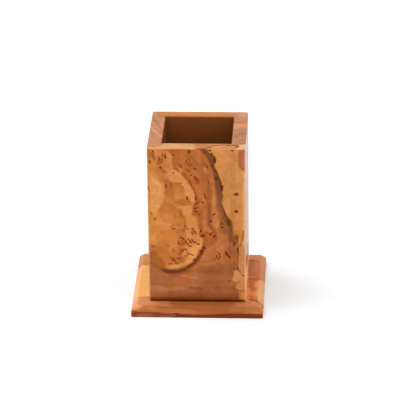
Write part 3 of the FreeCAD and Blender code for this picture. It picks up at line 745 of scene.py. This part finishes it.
def block_figure(local, side):
    """The figure where the photograph shows none: that of the front, from deeper in the same block."""
    mirrored, flipped, shift, reach, seed = SAWN[side]
    moved = drift(drift(local, 34, reach, seed), 9, 0.16 * reach, seed + 50)
    across = BOX_HALF - moved[:, 0] if mirrored else BOX_HALF + moved[:, 0]
    down = moved[:, 2] - FOOT if flipped else RIM - moved[:, 2]
    return front_figure(np.column_stack([across, down]) + shift, strip=False)


def seam_distance(local):
    """Distance to a board's own glue lines on the outside and the rim."""
    right = np.abs(local[:, 0] - SEAM)
    left = np.hypot(local[:, 0] + BOX_HALF, np.abs(local[:, 1] + BOX_HALF - TONGUE))
    return np.minimum(right, left)


# Boards --------------------------------------------------------------------------------------------

TOUCHING = 1e-7  # metres between places that count as one
LEVEL_WITH = 0.01  # mm between heights or faces that count as one
SHARP = 0.5  # radians between faces from which an edge can be rounded
SHADED_SHARP = 35  # degrees between faces from which an edge is shaded as sharp
WALL_EASE = 0.45  # rounding of the wall boards' edges, in mm
TOP_EASE = 0.9  # of the plinth's top where its bevels start
SIDE_EASE = 0.35  # of the plinth's other edges, apart from its sole
SOLE = 0.5  # height of the sole's own rounding


def eased(bm, chosen, width, segments=2):
    """Rounds the sharp edges whose middle, in mm, is chosen."""
    sharp = [e for e in bm.edges if len(e.link_faces) == 2 and e.calc_face_angle() > SHARP]
    edges = [e for e in sharp if chosen((e.verts[0].co + e.verts[1].co) / 2 / MM)]
    bmesh.ops.bevel(bm, geom=edges, offset=width * MM, segments=segments, profile=0.5, affect="EDGES")


def on_wall_arris(place):
    """True on the box's upright corners and on both edges of its rim."""
    beyond = [abs(abs(place[k]) - BOX_HALF) < LEVEL_WITH for k in (0, 1)]
    inside = max(abs(place.x), abs(place.y)) < MOUTH_HALF + LEVEL_WITH
    return all(beyond) or (place.z > RIM - LEVEL_WITH and (any(beyond) or inside))


def on_top_arris(place):
    """True where the plinth's flat top meets its bevels."""
    return place.z > plinth_high.z - LEVEL_WITH and max(abs(place.x), abs(place.y)) > BOX_HALF


def on_side_arris(place):
    """True on the plinth's edges between its sole, which is round already, and its top."""
    return plinth_low.z + SOLE < place.z < plinth_high.z - 0.2


def diced(node, name, step, seen, eases):
    """A copy of a CAD node with rounded edges, and with the faces that point the given ways cut small."""
    bm = bmesh.new()
    bm.from_mesh(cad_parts[node].data)
    bmesh.ops.remove_doubles(bm, verts=bm.verts, dist=TOUCHING)
    for ease in eases:
        eased(bm, *ease)
    low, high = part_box(node)
    for axis in (2, 0, 1):
        along = Vector([axis == k for k in range(3)])
        faces = [f for f in bm.faces if any(f.normal.dot(way) > 0.3 for way in seen)]
        faces = [f for f in faces if abs(f.normal[axis]) < 0.9]
        borders = dict.fromkeys(part for f in faces for part in (*f.edges, *f.verts))
        geometry = faces + list(borders)
        for place in np.arange(low[axis] + step * MM, high[axis], step * MM):
            plane = {"plane_co": along * place, "plane_no": along}
            cut = bmesh.ops.bisect_plane(bm, geom=geometry, dist=TOUCHING, **plane)
            geometry = [part for part in cut["geom"] if reaches_past(part, axis, place)]
    # Cutting leaves the faces in an order that changes from run to run, so they are put in their own.
    bm.verts.index_update()
    count = len(bm.verts)
    bm.faces.sort(key=lambda face: face.verts[0].index * count + face.verts[1].index)
    mesh = bpy.data.meshes.new(name)
    bm.to_mesh(mesh)
    bm.free()
    mesh.shade_smooth()
    mesh.set_sharp_from_angle(angle=math.radians(SHADED_SHARP))
    piece = bpy.data.objects.new(name, mesh)
    bpy.context.scene.collection.objects.link(piece)
    normals = piece.modifiers.new("flat faces stay flat", "WEIGHTED_NORMAL")
    normals.mode = "FACE_AREA_WITH_ANGLE"
    normals.keep_sharp = True
    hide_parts(node)
    return piece


def reaches_past(part, axis, place):
    """True if a vertex, edge or face has something beyond a cut, where the next cut goes."""
    corners = [part] if isinstance(part, bmesh.types.BMVert) else part.verts
    return max(corner.co[axis] for corner in corners) > place - TOUCHING


def vertices_of(piece):
    """A piece's vertices in millimetres, one to a row."""
    flat = np.empty(3 * len(piece.data.vertices))
    piece.data.vertices.foreach_get("co", flat)
    return flat.reshape(-1, 3) / MM


# Materials -----------------------------------------------------------------------------------------


class Shader:
    """A material under construction. Wherever a method takes a number, it takes a socket too."""

    def __init__(self, name):
        self.material = bpy.data.materials.new(name)
        self.material.use_nodes = True
        self.tree = self.material.node_tree
        self.tree.nodes.clear()

    def node(self, kind, inputs=None, **settings):
        made = self.tree.nodes.new("ShaderNode" + kind)
        for key, value in settings.items():
            setattr(made, key, value)
        for key, value in (inputs or {}).items():
            if isinstance(value, bpy.types.NodeSocket):
                self.tree.links.new(value, made.inputs[key])
            else:
                made.inputs[key].default_value = value
        return made

    def math(self, operation, a, b=0.0, c=0.0):
        return self.node("Math", {0: a, 1: b, 2: c}, operation=operation).outputs[0]

    def ramp(self, value, start, end, low=0.0, high=1.0):
        """low at start and high at end, smooth between. start may be the larger."""
        inputs = {"Value": value, "From Min": start, "From Max": end, "To Min": low, "To Max": high}
        return self.node("MapRange", inputs, interpolation_type="SMOOTHSTEP").outputs[0]

    def mix(self, weight, under, over, blend="MIX"):
        inputs = {0: weight, 6: under, 7: over}
        return self.node("Mix", inputs, data_type="RGBA", blend_type=blend).outputs[2]

    def scaled(self, vector, by):
        """A vector times a number, or times another vector."""
        if isinstance(by, tuple):
            return self.node("VectorMath", {0: vector, 1: by}, operation="MULTIPLY").outputs[0]
        return self.node("VectorMath", {0: vector, "Scale": by}, operation="SCALE").outputs[0]

    def place(self):
        """Where on the object, in millimetres."""
        return self.scaled(self.node("TexCoord").outputs["Object"], 1 / MM)

    def noise(self, vector, size, detail=2.0, rough=0.5):
        """Noise of 0 to 1 whose largest waves are about `size` wide."""
        inputs = {"Vector": vector, "Scale": 1 / size, "Detail": detail, "Roughness": rough}
        return self.node("TexNoise", inputs).outputs["Fac"]

    def warped(self, vector, size, reach):
        """A vector moved about by noise."""
        shift = self.node("TexNoise", {"Vector": vector, "Scale": 1 / size, "Detail": 2.0}).outputs["Color"]
        centred = self.node("VectorMath", {0: shift, 1: (0.5, 0.5, 0.5)}, operation="SUBTRACT").outputs[0]
        moved = self.scaled(centred, 2 * reach)
        return self.node("VectorMath", {0: vector, 1: moved}, operation="ADD").outputs[0]

    def kept(self, name, output="Fac"):
        """What store() kept for each vertex."""
        return self.node("Attribute", attribute_name=name).outputs[output]

    def finish(self, colour, roughness, height, depth, **settings):
        """Closes the material with one surface. height is 0 to 1, and depth is what 1 stands for, in mm."""
        bump = self.node("Bump", {"Height": height, "Distance": depth * MM, "Strength": 1.0})
        inputs = {"Base Color": colour, "Roughness": roughness, "Normal": bump.outputs[0]}
        surface = self.node("BsdfPrincipled", inputs | settings)
        self.node("OutputMaterial", {"Surface": surface.outputs[0]})
        return self.material


def rgba(colour):
    return (*linear(colour), 1.0)


WAX_STARTS = (19.0, 27.0)  # heights, in mm, between which the wax grows to what lies halfway up
WAX_GROWS = (62.0, 90.0)  # and from there to what lies at the rim


def burl_wood(name, fibre, polish):
    """Waxed burl. fibre gives how many waves of the grain fit in a millimetre along X, Y and Z.

    polish is how much clear wax lies on it near the foot, halfway up and at the rim.
    """
    sh = Shader(name)
    place = sh.place()
    figure = sh.kept("figure", "Color")

    grain = sh.noise(sh.scaled(sh.warped(place, 6, 0.8), fibre), 1.0, 3.0, 0.6)
    mottle = sh.noise(place, 2.6, 3.0, 0.6)
    fleck = sh.noise(sh.scaled(place, tuple(3 * f for f in fibre)), 1.0, 2.0)
    shade = sh.math("MULTIPLY_ADD", grain, 0.12, 0.94)
    shade = sh.math("MULTIPLY_ADD", mottle, 0.12, sh.math("SUBTRACT", shade, 0.06))
    shade = sh.math("MULTIPLY", shade, sh.ramp(fleck, 0.28, 0.42, 0.96, 1.0))
    colour = sh.scaled(figure, shade)

    ragged = sh.math("MULTIPLY_ADD", sh.noise(place, 0.55), 0.8, -0.4)
    knots = sh.math("ADD", sh.kept("knots"), ragged)
    colour = sh.scaled(colour, sh.ramp(knots, 0.75, 0.15, 1.0, 1.1))
    dark = sh.ramp(knots, 0.3, -0.2)
    pith = sh.mix(1.0, rgba(EYE), sh.scaled(figure, 0.4), "DARKEN")
    colour = sh.mix(sh.math("MULTIPLY", dark, 0.95), colour, pith)

    # Painted light: the wood is painted up to 15% lighter along the glue lines, against the shade of their
    # gaps.
    seam = sh.ramp(sh.kept("seam"), 0.5, 0.1)
    colour = sh.scaled(colour, sh.math("MULTIPLY_ADD", seam, 0.15, 1.0))

    roughness = sh.math("MULTIPLY_ADD", mottle, 0.14, 0.36)
    roughness = sh.math("MULTIPLY_ADD", dark, 0.15, roughness)
    height = sh.math("MULTIPLY_ADD", grain, 0.25, 0.6)
    height = sh.math("MULTIPLY_ADD", fleck, 0.12, height)
    height = sh.math("MULTIPLY_ADD", dark, -0.4, height)
    up = sh.node("SeparateXYZ", {0: place}).outputs["Z"]
    foot, middle, rim = polish
    wax = sh.ramp(up, *WAX_STARTS, foot, middle)
    wax = sh.math("ADD", wax, sh.ramp(up, *WAX_GROWS, 0.0, rim - middle))
    gloss = {"Specular IOR Level": 0.05, "Coat Weight": wax, "Coat Roughness": 0.06}
    return sh.finish(colour, roughness, height, 0.04, **gloss)


def plain_wood(name):
    """The floor board's unpolished wood."""
    sh = Shader(name)
    place = sh.place()
    grain = sh.noise(sh.scaled(sh.warped(place, 8, 1.5), (0.12, 1.3, 1.3)), 1.0, 4.0, 0.65)
    colour = sh.mix(grain, rgba((104, 60, 28)), rgba((156, 98, 52)))
    dust = sh.noise(place, 14.0, 4.0)
    colour = sh.mix(sh.ramp(dust, 0.5, 0.8, 0.0, 0.2), colour, rgba((170, 150, 128)))
    return sh.finish(colour, sh.math("MULTIPLY_ADD", grain, 0.15, 0.62), grain, 0.08)


def zinc_steel(name):
    """The screws: zinc plate, a little dulled."""
    sh = Shader(name)
    place = sh.place()
    blotch = sh.noise(place, 1.4, 3.0)
    scratch = sh.noise(sh.scaled(place, (9.0, 1.2, 9.0)), 1.0, 2.0)
    colour = sh.mix(blotch, rgba((168, 166, 158)), rgba((206, 202, 188)))
    rough = sh.math("MULTIPLY_ADD", blotch, 0.25, 0.22)
    return sh.finish(colour, rough, scratch, 0.01, Metallic=1.0)


# Building ------------------------------------------------------------------------------------------

UP = Vector((0, 0, 1))
UPRIGHT_FIBRE = (0.9, 0.9, 0.10)
wall_material = burl_wood("wall burl", UPRIGHT_FIBRE, (0.05, 0.05, 0.05))
right_material = burl_wood("polished wall burl", UPRIGHT_FIBRE, (0.05, 0.45, 0.6))
plinth_material = burl_wood("plinth burl", (0.16, 0.6, 0.6), (0.1, 0.1, 0.1))

PLINTH_STEP = 1.0  # mm between the cuts of the plinth
FACE_STEP = {"front": 0.4, "right": 0.6, "back": 0.6, "left": 0.6}
for turns, (side, step) in enumerate(FACE_STEP.items()):
    quarter = Matrix.Rotation(math.radians(90 * turns), 3, "Z")
    ways = [quarter @ Vector((0, -1, 0)), quarter @ Vector((-1, 0, 0)), UP]
    board = diced(f"{side}_panel", f"{side}_board", step, ways, [(on_wall_arris, WALL_EASE)])
    fields = wall_figure(vertices_of(board), side, turns)
    for name, values in zip(("figure", "knots", "seam"), fields):
        store(board.data, name, values, RIGHT_VEIL if side == "right" else VEIL)
    board.data.materials.append(right_material if side == "right" else wall_material)
    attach(board, "root")

ways = [Vector(w) for w in ((1, 0, 0), (-1, 0, 0), (0, 1, 0), (0, -1, 0), (0, 0, 1), (0, 0, -1))]
base_eases = [(on_top_arris, TOP_EASE, 3), (on_side_arris, SIDE_EASE)]
base = diced("plinth", "base_board", PLINTH_STEP, ways, base_eases)
p = vertices_of(base)
for name, values in zip(("figure", "knots", "seam"), (*plinth_figure(p), np.full(len(p), NO_MARK))):
    store(base.data, name, values)
base.data.materials.append(plinth_material)
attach(base, "root")

for node, material in (("floor_panel", plain_wood("floor wood")), ("plinth_screws", zinc_steel("zinc"))):
    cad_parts[node].data.materials.clear()
    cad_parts[node].data.materials.append(material)

# Floor, light and camera ---------------------------------------------------------------------------

FLOOR_SIZE = 6000.0  # mm
FLOOR_COLOUR = (0.78, 0.82, 0.84, 1)  # a cool white
FLOOR_GLOW = (0.21, 0.32)  # seen by the camera only: near the stand, where its shadow stays, and far off
GLOW_SPAN = (60.0, 420.0)  # mm from the middle, where it starts and stops to change
GLOSS_GLOW = 0.02  # the same for reflections

bpy.ops.mesh.primitive_plane_add(size=FLOOR_SIZE * MM, location=(0, 0, plinth_low.z * MM))
floor = bpy.context.object
floor.name = "studio_floor"
sh = Shader("studio floor")
rays = sh.node("LightPath")
surface = sh.node("BsdfDiffuse", {"Color": FLOOR_COLOUR})
mirrored = sh.math("MAXIMUM", rays.outputs["Is Glossy Ray"], rays.outputs["Is Transmission Ray"])
away = sh.node("VectorMath", {0: sh.place()}, operation="LENGTH").outputs["Value"]
seen = sh.math("MULTIPLY", rays.outputs["Is Camera Ray"], sh.ramp(away, *GLOW_SPAN, *FLOOR_GLOW))
seen = sh.math("MULTIPLY_ADD", mirrored, GLOSS_GLOW, seen)
glow = sh.node("Emission", {"Color": (1, 1, 1, 1), "Strength": seen})
both = sh.node("AddShader", {0: surface.outputs[0], 1: glow.outputs[0]})
sh.node("OutputMaterial", {"Surface": both.outputs[0]})
floor.data.materials.append(sh.material)

SKY_LIGHT = 0.5  # of the white room round the object; the camera and gloss see it as plain white
world = bpy.data.worlds.new("white room")
bpy.context.scene.world = world
world.use_nodes = True
nodes, links = world.node_tree.nodes, world.node_tree.links
nodes.clear()
path = nodes.new("ShaderNodeLightPath")
level = SKY_LIGHT
for kind in ("Is Camera Ray", "Is Glossy Ray", "Is Transmission Ray"):
    seen = nodes.new("ShaderNodeMix")
    links.new(path.outputs[kind], seen.inputs[0])
    if isinstance(level, float):
        seen.inputs[2].default_value = level
    else:
        links.new(level, seen.inputs[2])
    seen.inputs[3].default_value = 1.0
    level = seen.outputs[0]
room = nodes.new("ShaderNodeBackground")
room.inputs["Color"].default_value = (1, 1, 1, 1)
links.new(level, room.inputs["Strength"])
out = nodes.new("ShaderNodeOutputWorld")
links.new(room.outputs[0], out.inputs["Surface"])


def soft_light(name, place, aim, width, watts):
    """A square lamp at a place, turned to an aim. Both are in mm."""
    data = bpy.data.lights.new(name, "AREA")
    data.size = width * MM
    data.energy = watts
    lamp = bpy.data.objects.new(name, data)
    lamp.location = Vector(place) * MM
    lamp.rotation_euler = (Vector(place) - Vector(aim)).to_track_quat("Z", "Y").to_euler()
    bpy.context.scene.collection.objects.link(lamp)


STAND_MIDDLE = (0, 0, RIM / 2)
soft_light("key", (-600, 60, 1150), STAND_MIDDLE, 900, 9.4)
soft_light("front fill", (-100, -1300, 650), STAND_MIDDLE, 900, 4.7)
soft_light("right fill", (1000, -450, 800), STAND_MIDDLE, 1000, 6.6)

# The camera stands off the front's right, as the right wall's outside just shows.
CAMERA_AZIMUTH = 2.98
CAMERA_ELEVATION = 24.13
CAMERA_DISTANCE = 1472.0
CAMERA_ROLL = -0.65
FOCAL_PIXELS = 2575.0  # in a frame 400 pixels wide
FRAME_PIXELS = 400.0
SENSOR_WIDTH = 36.0
AIM_RIGHT = 0.57  # of the middle, seen from the camera
AIM_HEIGHT = 56.58  # above the ground

turn = Matrix.Rotation(math.radians(CAMERA_AZIMUTH), 3, "Z")
tilt = math.radians(CAMERA_ELEVATION)
backward = turn @ Vector((0, -math.cos(tilt), math.sin(tilt)))
right = turn @ Vector((1, 0, 0))
upward = backward.cross(right)
aim = right * AIM_RIGHT + UP * AIM_HEIGHT
lens = bpy.data.cameras.new("camera")
lens.sensor_width = SENSOR_WIDTH
lens.lens = FOCAL_PIXELS / FRAME_PIXELS * SENSOR_WIDTH
lens.clip_start = 0.01
lens.clip_end = 20.0
camera = bpy.data.objects.new("camera", lens)
axes = Matrix((right, upward, backward)).transposed() @ Matrix.Rotation(math.radians(CAMERA_ROLL), 3, "Z")
camera.matrix_world = Matrix.Translation((aim + backward * CAMERA_DISTANCE) * MM) @ axes.to_4x4()
bpy.context.scene.collection.objects.link(camera)
bpy.context.scene.camera = camera

bpy.context.scene.view_settings.view_transform = "Standard"

bpy.context.view_layer.update()
